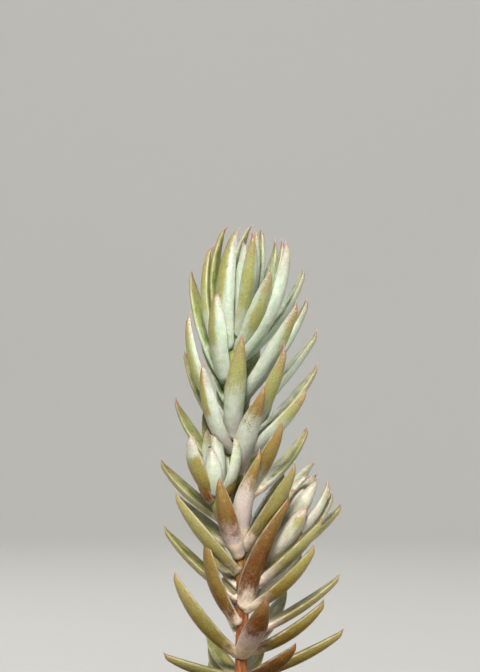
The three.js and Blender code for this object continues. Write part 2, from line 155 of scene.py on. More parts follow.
# Leaves of the main shoot that the front shows, from the lowest up: those that come towards the eye
# and those that lean away from it. Each has the height of its foot, how far to the side and how high
# the eye sees its tip at the stem's distance, the reach from the stem to the tip, half of the inward
# bend, the width and, where it also bends sideways, half of that. Then its colour: how warm it is,
# the shares of the length where that begins and ends, and the side it keeps to.
NEAR_LEAVES = [
    ((14.5, -10.4, 17.4, 14, 4, 2.8), 0.45, 0.1),
    ((14.5, 7.7, 18.8, 14, 10, 3.1), 0.95, 0.05),
    ((14.5, 14.2, 20.7, 16.6, 6, 3), 0.55, 0.15),
    ((17.5, -9, 28.5, 16.5, 13, 3.1), 0.55, 0.12),
    ((17.8, 11.5, 24.7, 14.5, 14, 3.2), 0.65, 0.2),
    ((17.5, 3.5, 25.1, 13.5, 10, 3.4), 0.94, 0.5),
    ((21.5, -4.5, 33.1, 13.2, 18, 2.9), 0.78, 0.16),
    ((23.5, 10.1, 32.1, 14.5, 14, 3.1), 0.6, 0.25),
    ((23, 6.6, 38.7, 18.2, -8, 3.3, 34), 0.93, 0.17),
    ((26, 11.3, 35.7, 15.5, 8, 3), 0.42, 0.35),
    ((28.5, -8.8, 39.1, 15.8, 7, 2.7), 0.46, 0.1),
    ((30.5, -2.8, 41.1, 13, 14, 3), 0.82, 0.4),
    ((31.5, 7.5, 43, 16, 8, 3), 0.52, 0.25),
    ((32, 3, 44.7, 15, 4, 2.8, 34), 0.66, 0.66),
    ((38, 5.7, 48.5, 14.5, 8, 2.8), 0.68, 0.42),
    ((41.5, 3.4, 53.4, 15, 4, 3.1, 14), 0.62, 0.66),
    ((43.5, 9, 53, 15, 10, 3.1), 0.35, 0.62),
    ((44.5, -5, 56.4, 14, 22, 2.6), 0.5, 0.44, 1.1, -0.3),
    ((45, 6.1, 58.6, 16.5, 10, 3), 0.42, 0.45),
    ((46, 0.6, 60.3, 16, 8, 2.9, 20), 0.42, 0.5),
    ((48.5, -6.8, 63.1, 15.9, 22, 2.4), 0.4, 0.3, 1.1, 0.1),
    ((50.5, 7.8, 64.5, 18, 6, 3.2), 0.42, 0.62, 1.1, -0.1),
    ((53.5, -2.9, 66.1, 12.8, 14, 3.3), 0.4, 0.36, 1.1, -0.25),
    ((56.5, 6.4, 72.7, 18.1, 18, 3), 0.18, 0.82, 1.1, 0.3),
    ((57.5, 4.2, 68.8, 13.6, 6, 3.1), 0.37, 0.28, 1.1, -0.2),
    ((59, 1.8, 73.9, 15.6, 8, 2.5), 0.36, 0.26, 1.1, -0.4),
    ((60.5, 2.2, 74.1, 14, 8, 2.3), 0.15, 0.75),
]
AWAY_LEAVES = [
    ((14, -4.5, 20.1, 12, 4, 2.4), 0.4, 0.2),
    ((20, 13.6, 28.1, 15.8, 8, 2.8), 0.5, 0.3),
    ((23.5, 8.4, 30.7, 13, 6, 2.8), 0.5, 0.3),
    ((24.8, -10.4, 34.5, 15, 4, 2.8), 0.46, 0.16),
    ((28.5, 13.9, 37.6, 17, 12, 3), 0.4, 0.3),
    ((31.5, -8.2, 38.4, 14.5, 5, 3), 0.46, 0.26),
    ((34.5, -10.9, 43.4, 15, 8, 3), 0.42, 0.22),
    ((38, 9.2, 47.8, 15.5, 12, 3), 0.38, 0.4),
    ((40.5, -8.8, 51.7, 15.2, 12, 2.4), 0.36, 0.3),
    ((44.5, 10.6, 56.2, 17, 8, 3.1), 0.25, 0.6),
    ((45.5, -7.6, 57.9, 16, 5, 2.8), 0.36, 0.4),
    ((48, 10.6, 60.6, 17.4, 3, 3), 0.2, 0.75),
    ((51, 9.2, 65, 17.5, 8, 3), 0.15, 0.8),
    ((53.5, -6.6, 68.8, 17.4, 14, 2.6), 0.32, 0.5),
    ((56.5, 8.8, 69, 16.5, 12, 2.8), 0.15, 0.8),
    ((57.5, 5.8, 72.9, 17, 12, 2.6), 0.15, 0.8),
    ((58, 4.8, 72.8, 16.5, 12, 2.4), 0.15, 0.8),
    ((60.3, 2.9, 74.4, 14.7, 10, 2.4), 0.15, 0.75),
]

# Leaves that close over the growing point: the foot's height, azimuth, length, lean at mid-length,
# half of the inward bend and width, and then the colour
CLOSING_LEAVES = [
    ((56, -95, 16.6, 7, 20, 2.4), 0.34, 0.45, 1.1, 0.6),
    ((57.5, -45, 17.5, -6, 21, 3.3), 0.4, 0.4, 1.1, -0.1),
    ((58, -115, 17.3, 1, 24, 2.4), 0.38, 0.3),
    ((60, -45, 12.5, -11, 14, 2.2), 0.15, 0.7),
    ((60, -120, 15.3, -12, 16, 2.4), 0.15, 0.75),
]

# Far leaves by height and azimuth, of the size and colour that are usual at their place
FAR_LEAVES = [
    (11, -160), (13.5, 165), (17.5, 150), (20, -170), (24, 165), (26.5, -150), (28.5, 178),
    (31.5, 150), (34, -160), (36, 165), (38.5, -155), (41, 175), (43.5, 148), (46, -172),
    (48.5, 160), (51, -155), (53, 172), (55.5, -170),
]
USUAL_LENGTH = 13.5
USUAL_LENGTHENING = 0.06
USUAL_LEAN = 64
USUAL_STRAIGHTENING = (0.3, 0.0062)
USUAL_WIDTH = 3
USUAL_BEND = 11
USUAL_WARMTH = 0.18
USUAL_LOW_WARMTH = 0.34
USUAL_SUN_WARMTH = 0.3
USUAL_BEGINS = 0.25
USUAL_LATER = 0.5
USUAL_SPREAD = 0.06

# Leaves on the lowest stem follow the spiral that such a shoot grows in
SPIRAL_TURN = 137.5
SPIRAL_FIRST = 3
SPIRAL_RISE = 0.72
SPIRAL_LEAVES = 9

# Young leaves closed over the growing point
BUD_LEAVES = 8
BUD_FIRST = 61
BUD_AZIMUTH = 25
BUD_RISE = 0.32
BUD_LENGTH = 11.8
BUD_LEAN = 6
BUD_BEND = 10
BUD_WIDTHS = (1.2, 2.4)
BUD_COLOUR = (0.12, 0.8)

# Side shoots. The root is the height on the main stem, and the base is where the first leaves stand.
# The leaves' heights run along the axis from the base. The ground is the bloom's colour on them.
LEFT_SIDE_SHOOT = {
    "ground": 0.09,
    "root": 32,
    "base": (-3.1, -2, 38.4),
    "axis": (-0.1, -0.16, 0.98),
    "length": 3.6,
    "leaves": [
        ((0.6, -50, 9.4, 16, 24, 2.9), 0.56, 0.1, 0.7),
        ((0.4, 62, 9, 21, 26, 2.3), 0.15, 0.6),
        ((-0.6, -52, 5.4, 18, 24, 1.7), 0.9, 0.1),
        ((-0.6, 60, 5.4, 26, 22, 1.7), 0.8, 0.1),
        ((0.4, 0, 7.2, 6, 28, 2.4), 0.12, 0.8),
        ((1, 46, 8, -2, 25, 2.3), 0.12, 0.8),
        ((1.4, -170, 8.2, 6, 24, 2), 0.2, 0.7),
        ((1.2, -100, 6.6, 14, 30, 2), 0.35, 0.3, 0.9),
        ((2, 140, 7.2, 4, 20, 1.8), 0.15, 0.7),
        ((0.2, 150, 7, 24, 30, 2), 0.2, 0.7),
        ((2.6, 10, 3.8, 4, 14, 1.5), 0.1, 0.8),
        ((2.7, -160, 4.4, 4, 14, 1.5), 0.1, 0.8),
    ],
}
RIGHT_SIDE_SHOOT = {
    "ground": 0.04,
    "root": 26,
    "base": (3.7, 0.5, 31.2),
    "axis": (0.56, -0.14, 0.81),
    "length": 4.8,
    "leaves": [
        ((-1.2, 20, 10, 9, 22, 3.1), 0.34, 0.62, 0.86, -0.1),
        ((0.6, 115, 11.4, 14, 26, 2.4), 0.2, 0.6),
        ((1.6, 88, 11.2, 5, 22, 2.6), 0.15, 0.7),
        ((2, -90, 10, 5, 22, 2.4), 0.15, 0.7),
        ((0.3, -62, 9.4, 10, 24, 2.3), 0.25, 0.5),
        ((1.4, -145, 12.4, 10, 24, 2.3), 0.15, 0.7),
        ((2.4, -170, 10, 8, 18, 2.1), 0.12, 0.8),
        ((2.8, 10, 9.2, -4, 14, 2.1), 0.12, 0.8),
        ((-0.4, 160, 9.4, 20, 24, 2.3), 0.3, 0.5),
        ((-2.4, 62, 8, 16, 22, 2.2), 0.55, 0.2),
        ((3.2, -100, 6.8, 2, 10, 1.6), 0.1, 0.8),
        ((3.2, 100, 6.8, 2, 10, 1.6), 0.1, 0.8),
    ],
}

# Age runs from 0 in the bud to 1 at the soil
YOUNG_FROM_HEIGHT = 62
SIDE_SHOOT_AGE = 0.1

# The bloom's colour, as a place on its ramp
YOUNG_GROUND = 0.12
GROWN_GROUND = 0.28
OLD_GROUND = 0.6
CREAM_GROUND = 0.95
LAVENDER_GROUND = 0.6

# How a leaf's hue, dots and blush change with place and age, and how far veins differ on its upper face
HUE_COOLING = 0.2
FEW_DOTS = 0.25
TIP_DOTS = 0.75
TIP_BLUSH = 0.4
OLD_BLUSH_LOSS = 0.5
UPPER_FACE_SHIFT = 7

# What each point of a leaf or stem carries for its material
SKIN_VALUES = (
    "warmth", "cover", "ground", "dots", "blush", "point", "edge", "inner", "tone", "age",
    "sideways", "lengthways",
)
LEAF_SKIN = 0
STEM_SKIN = 1


def smooth(low, high, value):
    """0 at low, 1 at high, a smooth change between them and none beyond."""
    share = np.clip((np.asarray(value, float) - low) / (high - low), 0, 1)
    return share * share * (3 - 2 * share)


def blend(first, last, share):
    return first + (last - first) * share


def within_one(value):
    return min(max(value, 0), 1)


def turn_from_up(direction):
    """The 3x3 turn that takes +Z to a direction the shortest way."""
    return np.array(Vector(UP).rotation_difference(Vector(direction).normalized()).to_matrix())


def turned_about(points, pivot, axis, angle):
    """Points turned about an axis through a pivot."""
    arms = points - pivot
    cos, sin = math.cos(angle), math.sin(angle)
    return pivot + arms * cos + np.cross(axis, arms) * sin + np.outer(arms @ axis, axis) * (1 - cos)


def waves(kinds, phases, place, wound=0):
    """A sum of waves, each by its pace, its height and how far it winds."""
    total = 0
    for (pace, height, winding), phase in zip(kinds, phases):
        total = total + height * np.sin(pace * place + phase + winding * wound)
    return total


def ring_angles(sides):
    return FULL_TURN * np.arange(sides) / sides


def level_ring(angles, radius, height):
    """Points round +Z at a radius and height, each one number or one for every angle."""
    return np.stack([radius * np.cos(angles), radius * np.sin(angles), height + 0 * angles], -1)


def faces_between(rings, sides, closed=False):
    """Faces from each ring of points to the next and, if closed, from the last to the first."""
    faces = []
    for i in range(rings if closed else rings - 1):
        this, following = i * sides, (i + 1) % rings * sides
        for j in range(sides):
            k = (j + 1) % sides
            faces.append((this + j, this + k, following + k, following + j))
    return faces


def skin_over(rings):
    """Points and faces of a closed skin over rings of equal count."""
    sides = len(rings[0])
    points = np.concatenate([*rings, [rings[0].mean(0)], [rings[-1].mean(0)]])
    start, end = len(points) - 2, len(points) - 1
    last = (len(rings) - 1) * sides
    faces = faces_between(len(rings), sides)
    for j in range(sides):
        faces.append((start, (j + 1) % sides, j))
        faces.append((end, last + j, last + (j + 1) % sides))
    return points, faces


def mesh_piece(name, points, faces, materials):
    """A smooth piece in the scene, from points in metres."""
    mesh = bpy.data.meshes.new(name)
    mesh.from_pydata(points.tolist(), [], faces)
    mesh.polygons.foreach_set("use_smooth", [True] * len(faces))
    for material in materials:
        mesh.materials.append(material)
    piece = bpy.data.objects.new(name, mesh)
    bpy.context.scene.collection.objects.link(piece)
    return piece


class Skins:
    """Closed skins gathered into one mesh, with named values at each point."""

    def __init__(self, names):
        self.points, self.faces, self.kinds = [], [], []
        self.values = {name: [] for name in names}
        self.count = 0

    def add(self, points, faces, kind=0, **values):
        self.points.append(points)
        self.faces += [tuple(self.count + i for i in face) for face in faces]
        self.kinds += [kind] * len(faces)
        for name, store in self.values.items():
            store.append(np.broadcast_to(values.get(name, 0.0), len(points)).astype(np.float32))
        self.count += len(points)

    def piece(self, name, materials):
        made = mesh_piece(name, np.concatenate(self.points) * METRES, self.faces, materials)
        made.data.polygons.foreach_set("material_index", self.kinds)
        for value, store in self.values.items():
            attribute = made.data.attributes.new(value, "FLOAT", "POINT")
            attribute.data.foreach_set("value", np.concatenate(store))
        made.data.update()
        return made


def sway(height):
    """How far the stem leans to the side at a height, on a smooth curve."""
    points = STEM_SWAY
    i = 0
    while i < len(points) - 2 and points[i + 1][0] < height:
        i += 1

    def slope(j):
        below, above = points[max(j - 1, 0)], points[min(j + 1, len(points) - 1)]
        return (above[1] - below[1]) / (above[0] - below[0])

    span = points[i + 1][0] - points[i][0]
    t = within_one((height - points[i][0]) / span)
    return (
        (2 * t**3 - 3 * t**2 + 1) * points[i][1]
        + (t**3 - 2 * t**2 + t) * span * slope(i)
        + (3 * t**2 - 2 * t**3) * points[i + 1][1]
        + (t**3 - t**2) * span * slope(i + 1)
    )


def stem_radius(height):
    thickened = within_one((height - STEM_THICKENS_FROM) / STEM_THICKENS_OVER)
    return blend(STEM_THIN_RADIUS, STEM_THICK_RADIUS, thickened)


def domed_stem_radius(height):
    """The stem's radius, which closes in a dome at the tip."""
    if height < STEM_TIP_FROM:
        return stem_radius(height)
    share = (height - STEM_TIP_FROM) / (STEM_TIP + STEM_TIP_BLUNT - STEM_TIP_FROM)
    return stem_radius(height) * math.sqrt(1 - share**2)


def stem_point(height):
    return np.array([sway(height), 0, SOIL_TOP + height])


def stem_turn(height):
    return turn_from_up(((sway(height + 1) - sway(height - 1)) / 2, 0, 1))


def fullness(t):
    """Half of a leaf's width at the share t of its length, as a share of its full half width."""
    swell = np.maximum(np.sin(np.pi * np.clip(t, 0, 1)), 0)
    foot_half = blend(LEAF_FOOT_WIDTH, 1, swell**LEAF_FOOT_CURVE)
    return np.where(t < 0.5, foot_half, swell**LEAF_TIP_CURVE)


def leaf_directions(t, azimuth, lean, bend, swing):
    """The ways along, across and up out of a leaf at shares of its length."""
    pitch = np.radians(lean + bend * (1 - 2 * t))[..., None]
    heading = np.radians(azimuth + swing * (2 * t - 1))
    outward = np.stack([np.sin(heading), -np.cos(heading), 0 * heading], -1)
    across = np.stack([np.cos(heading), np.sin(heading), 0 * heading], -1)
    onward = outward * np.sin(pitch) + UP * np.cos(pitch)
    return onward, across, UP * np.sin(pitch) - outward * np.cos(pitch)


def leaf_middle(t, foot_radius, length, azimuth, *bends):
    """The points of a leaf's middle line, each summed up in steps."""
    along = t[:, None] * (np.arange(LEAF_STEPS) + 0.5) / LEAF_STEPS
    travel = leaf_directions(along, azimuth, *bends)[0].sum(1) * (t * length / LEAF_STEPS)[:, None]
    heading = math.radians(azimuth)
    outward = np.array([math.sin(heading), -math.cos(heading), 0])
    return outward * (foot_radius - LEAF_SUNK) + travel


def leaf_shares(pitch, length):
    """The shares of a leaf's length that have rings, from the first clear of the stem."""
    clear = LEAF_SUNK + HEEL_CLEAR + FOOT_HALF_DEPTH * math.cos(pitch)
    start = min(clear / math.sin(pitch), HEEL_REACH_LIMIT) / length
    blade = np.linspace(start, TIP_FROM, BLADE_RINGS)
    tip = np.linspace(TIP_FROM, 1, TIP_RINGS + 1)[1:]
    return np.concatenate([blade, tip])


def leaf_half_width(t, width, phases):
    """Half of a leaf's width, a little uneven, with the radius of its fine point."""
    blade = width / 2 * fullness(t / BLADE_ENDS) * (1 + waves(OUTLINE_WAVES, phases, t))
    taper = np.clip((1 - t) / POINT_TAPER, POINT_BLUNT, 1) ** POINT_TAPER_CURVE
    return np.hypot(blade, POINT_RADIUS * taper * smooth(*POINT_STARTS, t))


def leaf_depths(t, width, half_width):
    """How far a leaf stands out below and above its middle line."""
    thickness = LEAF_THICKNESS + LEAF_THICKNESS_PER_WIDTH * width
    depth = thickness * np.sqrt(np.maximum(0, np.sin(np.pi * blend(LEAF_FOOT_DEPTH, 1, t))))
    below = np.minimum(depth * LEAF_KEEL_SHARE, half_width * LEAF_KEEL_LIMIT)
    above = np.minimum(depth * (1 - LEAF_KEEL_SHARE), half_width * LEAF_FACE_LIMIT)
    rounded_off = smooth(*TIP_ROUNDS, t)
    return blend(below, half_width, rounded_off), blend(above, half_width, rounded_off)


def heel_rings(ring, pivot, axis):
    """A leaf's first ring rolled back under its foot about a pivot, from the far end on."""
    arms = ring - pivot
    sideways = np.outer(arms @ axis, axis)
    heel = []
    for turn in np.arange(HEEL_RINGS, 0, -1) / HEEL_RINGS:
        swell = 1 + HEEL_SWELL * math.sin(math.pi * min(turn * HEEL_SWELL_PACE, 1))
        full = swell * (1 - HEEL_THINNING * turn**3)
        narrow = 1 - HEEL_NARROWING * turn**2
        rolled = pivot + (arms - sideways) * full + sideways * narrow
        heel.append(turned_about(rolled, pivot, axis, math.radians(HEEL_TURN) * turn))
    return heel


def leaf_rings(foot_radius, azimuth, length, lean, bend, width, swing=0):
    """A leaf's rings from heel to point, about a stem on +Z, with each one's share of the length."""
    t = leaf_shares(math.radians(lean + bend), length)
    phases = rng.uniform(0, FULL_TURN, 4)
    half_width = leaf_half_width(t, width, phases[:2])
    below, above = leaf_depths(t, width, half_width)
    _, across, upward = leaf_directions(t, azimuth, lean, bend, swing)
    curl = POINT_CURL * np.clip((t - POINT_CURL_FROM) / (1 - POINT_CURL_FROM), 0, 1) ** 2
    weave = WEAVE * np.sin(WEAVE_PACE * t + phases[2]) * smooth(*WEAVE_STARTS, t)
    middle = leaf_middle(t, foot_radius, length, azimuth, lean, bend, swing)
    middle = middle + upward * curl[:, None] + across * weave[:, None]

    angles = ring_angles(LEAF_SIDES)
    cos, sin = np.cos(angles), np.sin(angles)
    grooved = band(GROOVE_STARTS, GROOVE_ENDS, t)
    groove = 1 - GROOVE_DEPTH * np.exp(-((cos / GROOVE_HALF_WIDTH) ** 2)) * grooved[:, None]
    depth = np.where(sin > 0, above[:, None] * groove, below[:, None])
    lift = depth * np.sign(sin) * np.abs(sin) ** SECTION_CURVE
    sideways = half_width[:, None] * cos
    rings = middle[:, None] + across[:, None] * sideways[..., None] + upward[:, None] * lift[..., None]
    heel = heel_rings(rings[0], middle[0] + upward[0] * above[0], across[0])
    heel_shares = t[0] * (1 - np.arange(HEEL_RINGS, 0, -1) / HEEL_RINGS)
    return [*heel, *rings], np.concatenate([heel_shares, t])


def skin_places(shares):
    """Each skin point's share of the length, and how far across and above it lies, from -1 to 1."""
    angles = ring_angles(LEAF_SIDES)
    t = np.append(np.repeat(shares, LEAF_SIDES), [shares[0], shares[-1]])
    across = np.append(np.tile(np.cos(angles), len(shares)), [0, 0])
    facing = np.append(np.tile(np.sin(angles), len(shares)), [-1, 0])
    return t, across, facing


def band(first, last, t):
    """1 between two pairs of places and 0 outside, with a smooth change within each pair."""
    return smooth(*first, t) * (1 - smooth(*last, t))


def warm_cover(t, across, begins, ends=1.1, side=None):
    """How far the sun-warmed colour covers a leaf, all over or about one place across it."""
    cover = band((begins - 0.2, begins + 0.2), (ends - 0.14, ends + 0.14), t)
    return cover if side is None else cover * (1 - smooth(0.35, 0.95, np.abs(across - side)))


def leaf_hue(t, warmth, begins):
    """A warm leaf is warmest where its colour begins, and cooler towards the point."""
    return warmth - HUE_COOLING * smooth(0.25, 0.75, warmth) * (smooth(begins, 0.95, t) - 0.45)


def leaf_ground(t, age):
    """The bloom's colour on the main shoot: greyer with age, and cream at an old leaf's foot."""
    cream = smooth(0.27, 0.19, t)
    at_foot = CREAM_GROUND * cream + LAVENDER_GROUND * smooth(0.5, 0.24, t) * (1 - cream)
    old = np.maximum(blend(GROWN_GROUND, OLD_GROUND, smooth(0.3, 0.55, age)), at_foot)
    return blend(YOUNG_GROUND, old, smooth(0.15, 0.45, age))


def leaf_dots(t, warmth, begins):
    """How thickly dots lie where the warm colour begins."""
    near = band((begins - 0.24, begins - 0.06), (begins + 0.08, begins + 0.36), t)
    return blend(FEW_DOTS, 1, near) * smooth(0.15, 0.85, warmth) * smooth(0.1, 0.24, t)


def add_leaf(skins, foot, turn, foot_radius, row, colour, age, own_ground=None):
    """One leaf, in place, with what its material needs. A leaf with its own ground has it all over."""
    length, width = row[2], row[5]
    warmth, begins = colour[:2]
    rings, shares = leaf_rings(foot_radius, *row[1:])
    points, faces = skin_over(rings)
    t, across, facing = skin_places(shares)
    tip_zone = smooth(0.68, 0.86, t) * (1 - smooth(0.3, 0.65, age))
    blush = smooth(0.85, 0.97, t) * (1 - OLD_BLUSH_LOSS * smooth(0.2, 0.6, age))
    if own_ground is None:
        ground, inner = leaf_ground(t, age), smooth(0.08, 0.4, facing)
    else:
        ground, inner = own_ground, 0
    skins.add(
        points @ turn.T + foot, faces, LEAF_SKIN,
        warmth=leaf_hue(t, warmth, begins), cover=warm_cover(t, across, *colour[1:]),
        ground=ground, dots=np.maximum(leaf_dots(t, warmth, begins), TIP_DOTS * tip_zone),
        blush=np.maximum(blush, TIP_BLUSH * tip_zone), point=smooth(0.975, 0.99, t),
        edge=smooth(0.96, 0.995, np.abs(across)) * smooth(0.04, 0.15, t), inner=inner,
        tone=rng.uniform(0, 1), age=age, lengthways=t * length,
        sideways=across * width / 2 + np.where(facing > 0, UPPER_FACE_SHIFT, 0),
    )


def drawn_in(half_bend):
    """The length from end to end of a line that bends by twice an angle, as a share of its own."""
    return 1 if half_bend == 0 else math.sin(math.radians(half_bend)) / math.radians(half_bend)


def seen_leaf(side, height, aside, tip_height, reach, bend, width, swing=0):
    """The row of a leaf given by where its tip is seen, on the near side for 1, the far for -1."""
    seen = np.array([aside, 0, SOIL_TOP + tip_height])
    sight = (EYE - seen) / np.linalg.norm(EYE - seen)
    arm = seen - stem_point(height)
    along = sight @ arm
    arm = arm + sight * (side * math.sqrt(max(0, along**2 - arm @ arm + reach**2)) - along)
    outwards = (math.hypot(arm[0], arm[1]) - stem_radius(height) + LEAF_SUNK) / drawn_in(swing)
    azimuth = math.degrees(math.atan2(arm[0], -arm[1]))
    length = math.hypot(outwards, arm[2]) / drawn_in(bend)
    return (height, azimuth, length, math.degrees(math.atan2(outwards, arm[2])), bend, width, swing)


def usual_leaf(height, azimuth):
    length = USUAL_LENGTH + USUAL_LENGTHENING * height
    lean = USUAL_LEAN - USUAL_STRAIGHTENING[0] * height - USUAL_STRAIGHTENING[1] * height**2
    return (height, azimuth, length, lean, USUAL_BEND, USUAL_WIDTH)


def usual_colour(height, azimuth):
    """Warmer low down and to the front, where the sun reaches, and mint near the top."""
    sun = 0.5 + 0.5 * math.cos(math.radians(azimuth))
    low_down = (USUAL_LOW_WARMTH + USUAL_SUN_WARMTH * sun) * float(smooth(60, 20, height))
    warmth = USUAL_WARMTH + low_down + rng.uniform(-USUAL_SPREAD, USUAL_SPREAD)
    begins = USUAL_BEGINS + USUAL_LATER * float(smooth(25, 60, height))
    return (warmth, begins + rng.uniform(-USUAL_SPREAD, USUAL_SPREAD))


def main_shoot_leaves():
    """The row and colour of every leaf of the main shoot."""
    rows = [(seen_leaf(1, *row), colour) for row, *colour in NEAR_LEAVES]
    rows += [(seen_leaf(-1, *row), colour) for row, *colour in AWAY_LEAVES]
    rows += [(row, colour) for row, *colour in CLOSING_LEAVES]
    places = FAR_LEAVES + [
        (SPIRAL_FIRST + SPIRAL_RISE * i, SPIRAL_TURN * i - 180) for i in range(SPIRAL_LEAVES)
    ]
    rows += [(usual_leaf(*place), usual_colour(*place)) for place in places]
    for i in range(BUD_LEAVES):
        size = 1 - i / (BUD_LEAVES + 2)
        height = BUD_FIRST + BUD_RISE * i
        azimuth = BUD_AZIMUTH + SPIRAL_TURN * i
        row = (height, azimuth, BUD_LENGTH * size, BUD_LEAN * size, BUD_BEND, blend(*BUD_WIDTHS, size))
        rows.append((row, BUD_COLOUR))
    return rows


def add_stem(skins, centres, turns, radii, greens):
    """A round stem over rings, a little uneven, with fine ribs that run up it."""
    angles = ring_angles(STEM_SIDES)
    arms = level_ring(angles, 1, 0)
    phases = rng.uniform(0, FULL_TURN, 3)
    rings = []
    for i, (centre, turn, radius) in enumerate(zip(centres, turns, radii)):
        uneven = 1 + waves(STEM_RIBS, phases, angles, i) + waves(STEM_SWELL, phases[2:], i)
        rings.append(centre + (arms * (radius * uneven)[:, None]) @ turn.T)
    points, faces = skin_over(rings)
    green = np.append(np.repeat(greens, STEM_SIDES), [greens[0], greens[-1]])
    skins.add(points, faces, STEM_SKIN, warmth=green)


def build_main_shoot(materials):
    """The stem and all its leaves."""
    skins = Skins(SKIN_VALUES)
    heights = np.concatenate([
        np.arange(-STEM_ROOT_DEPTH, STEM_TIP_FROM, STEM_RING_EVERY),
        np.linspace(STEM_TIP_FROM, STEM_TIP, STEM_TIP_RINGS),
    ])
    centres, turns = [stem_point(h) for h in heights], [stem_turn(h) for h in heights]
    add_stem(skins, centres, turns, [domed_stem_radius(h) for h in heights], smooth(*STEM_GREENS, heights))
    for row, colour in main_shoot_leaves():
        height = row[0]
        age = 1 - min(height / YOUNG_FROM_HEIGHT, 1)
        add_leaf(skins, stem_point(height), np.eye(3), stem_radius(height), row, colour, age)
    return skins.piece("stonecrop_shoot", materials)


def side_stem_radius(share):
    """A side stem's radius at a share of the way along its straight part."""
    return blend(SIDE_STEM_THICK_RADIUS, SIDE_STEM_THIN_RADIUS, share)


def build_side_shoot(name, shoot, materials):
    """A side shoot: a short bent stem with a straight part that carries the leaves."""
    skins = Skins(SKIN_VALUES)
    direction = np.array(shoot["axis"]) / np.linalg.norm(shoot["axis"])
    turn = turn_from_up(direction)
    root = stem_point(shoot["root"])
    base = np.array(shoot["base"]) + UP * SOIL_TOP
    elbow = base - direction * SIDE_STEM_ELBOW * np.linalg.norm(base - root)
    bent = np.linspace(0, 1, BENT_RINGS)[:, None]
    straight = np.linspace(0, 1, STRAIGHT_RINGS + 1)[1:]
    centres = np.concatenate([
        (1 - bent) ** 2 * root + 2 * bent * (1 - bent) * elbow + bent**2 * base,
        base + np.outer(straight, direction * shoot["length"]),
    ])
    turns = [turn_from_up(onward) for onward in blend(elbow - root, base - elbow, bent)]
    turns += [turn] * STRAIGHT_RINGS
    radii = side_stem_radius(np.append(0 * bent, straight))
    add_stem(skins, centres, turns, radii, np.full(len(centres), SIDE_STEM_GREEN))
    for row, *colour in shoot["leaves"]:
        foot = base + direction * row[0]
        radius = side_stem_radius(within_one(row[0] / shoot["length"]))
        add_leaf(skins, foot, turn, radius, row, colour, SIDE_SHOOT_AGE, shoot["ground"])
    return skins.piece(name, materials)


# Where nearly all of a noise lies
NOISE = (0.3, 0.7)


class Nodes:
    """A material's nodes, made one after another."""

    def __init__(self, name):
        self.material = bpy.data.materials.new(name)
        self.material.use_nodes = True
        self.tree = self.material.node_tree
        self.shader = self.tree.nodes["Principled BSDF"]

    def put(self, target, value):
        """An input set to a number or colour, or linked to a socket or a named point value."""
        if isinstance(value, str):
            value = self.node("ShaderNodeAttribute", {}, output="Fac", attribute_name=value)
        if isinstance(value, bpy.types.NodeSocket):
            self.tree.links.new(value, target)
        elif target.type == "RGBA":
            target.default_value = linear(value)
        else:
            target.default_value = value

    def node(self, kind, inputs, output=0, **settings):
        made = self.tree.nodes.new(kind)
        for name, value in settings.items():
            setattr(made, name, value)
        for name, value in inputs.items():
            self.put(made.inputs[name], value)
        return made.outputs[output]

    def place(self):
        return self.node("ShaderNodeTexCoord", {}, output="Object")

    def noise(self, size, detail, roughness, place=None):
        """Noise whose lumps are about a size in millimetres, around 0.5."""
        return self.node("ShaderNodeTexNoise", {
            "Vector": self.place() if place is None else place,
            "Scale": 1 / (size * METRES), "Detail": detail, "Roughness": roughness,
        })

    def cells(self, size):
        """The distance from the middles of cells about a size in millimetres across."""
        return self.node("ShaderNodeTexVoronoi", {"Vector": self.place(), "Scale": 1 / (size * METRES)})

    def math(self, operation, a, b, c=0.0):
        return self.node("ShaderNodeMath", {0: a, 1: b, 2: c}, operation=operation)

    def chained(self, operation, values):
        result = values[-1]
        for value in reversed(values[:-1]):
            result = self.math(operation, value, result)
        return result

    def add(self, *values):
        return self.chained("ADD", values)

    def times(self, *values):
        return self.chained("MULTIPLY", values)

    def between(self, value, source, target=(0.0, 1.0), kind="SMOOTHSTEP"):
        """A value taken smoothly from one range to another, and held at its ends."""
        return self.node("ShaderNodeMapRange", {
            "Value": value, "From Min": source[0], "From Max": source[1],
            "To Min": target[0], "To Max": target[1],
        }, interpolation_type=kind)

    def swing(self, value, reach):
        """Noise around 0.5 turned into a swing of up to a reach either way."""
        return self.between(value, NOISE, (-reach, reach), "LINEAR")

    def mix(self, share, first, second, blend_type="MIX"):
        # The sockets for colours come after those for numbers and directions
        first_socket, second_socket, result = 6, 7, 2
        return self.node(
            "ShaderNodeMix", {"Factor": share, first_socket: first, second_socket: second},
            result, data_type="RGBA", blend_type=blend_type,
        )

    def shaded(self, colour, shade):
        """A colour made darker or lighter by a number around 1."""
        grey = self.node("ShaderNodeCombineColor", {0: shade, 1: shade, 2: shade})
        return self.mix(1.0, colour, grey, "MULTIPLY")

    def ramp(self, share, stops):
        made = self.tree.nodes.new("ShaderNodeValToRGB")
        self.put(made.inputs["Fac"], share)
        elements = made.color_ramp.elements
        while len(elements) < len(stops):
            elements.new(0.5)
        for element, (position, colour) in zip(elements, stops):
            element.position = position
            element.color = linear(colour)
        return made.outputs["Color"]

    def bump(self, height, strength, depth, normal=None):
        """Relief of a depth in millimetres, over another relief if that is given."""
        inputs = {"Height": height, "Strength": strength, "Distance": depth * METRES}
        if normal is not None:
            inputs["Normal"] = normal
        return self.node("ShaderNodeBump", inputs)

    def finish(self, **inputs):
        for name, value in inputs.items():
            self.put(self.shader.inputs[name.replace("_", " ")], value)
        return self.material


def linear(colour):
    """A linear colour with alpha from an sRGB one given as 0 to 255."""
    shares = [c / 255 for c in colour]
    return (*[c / 12.92 if c <= 0.04045 else ((c + 0.055) / 1.055) ** 2.4 for c in shares], 1.0)


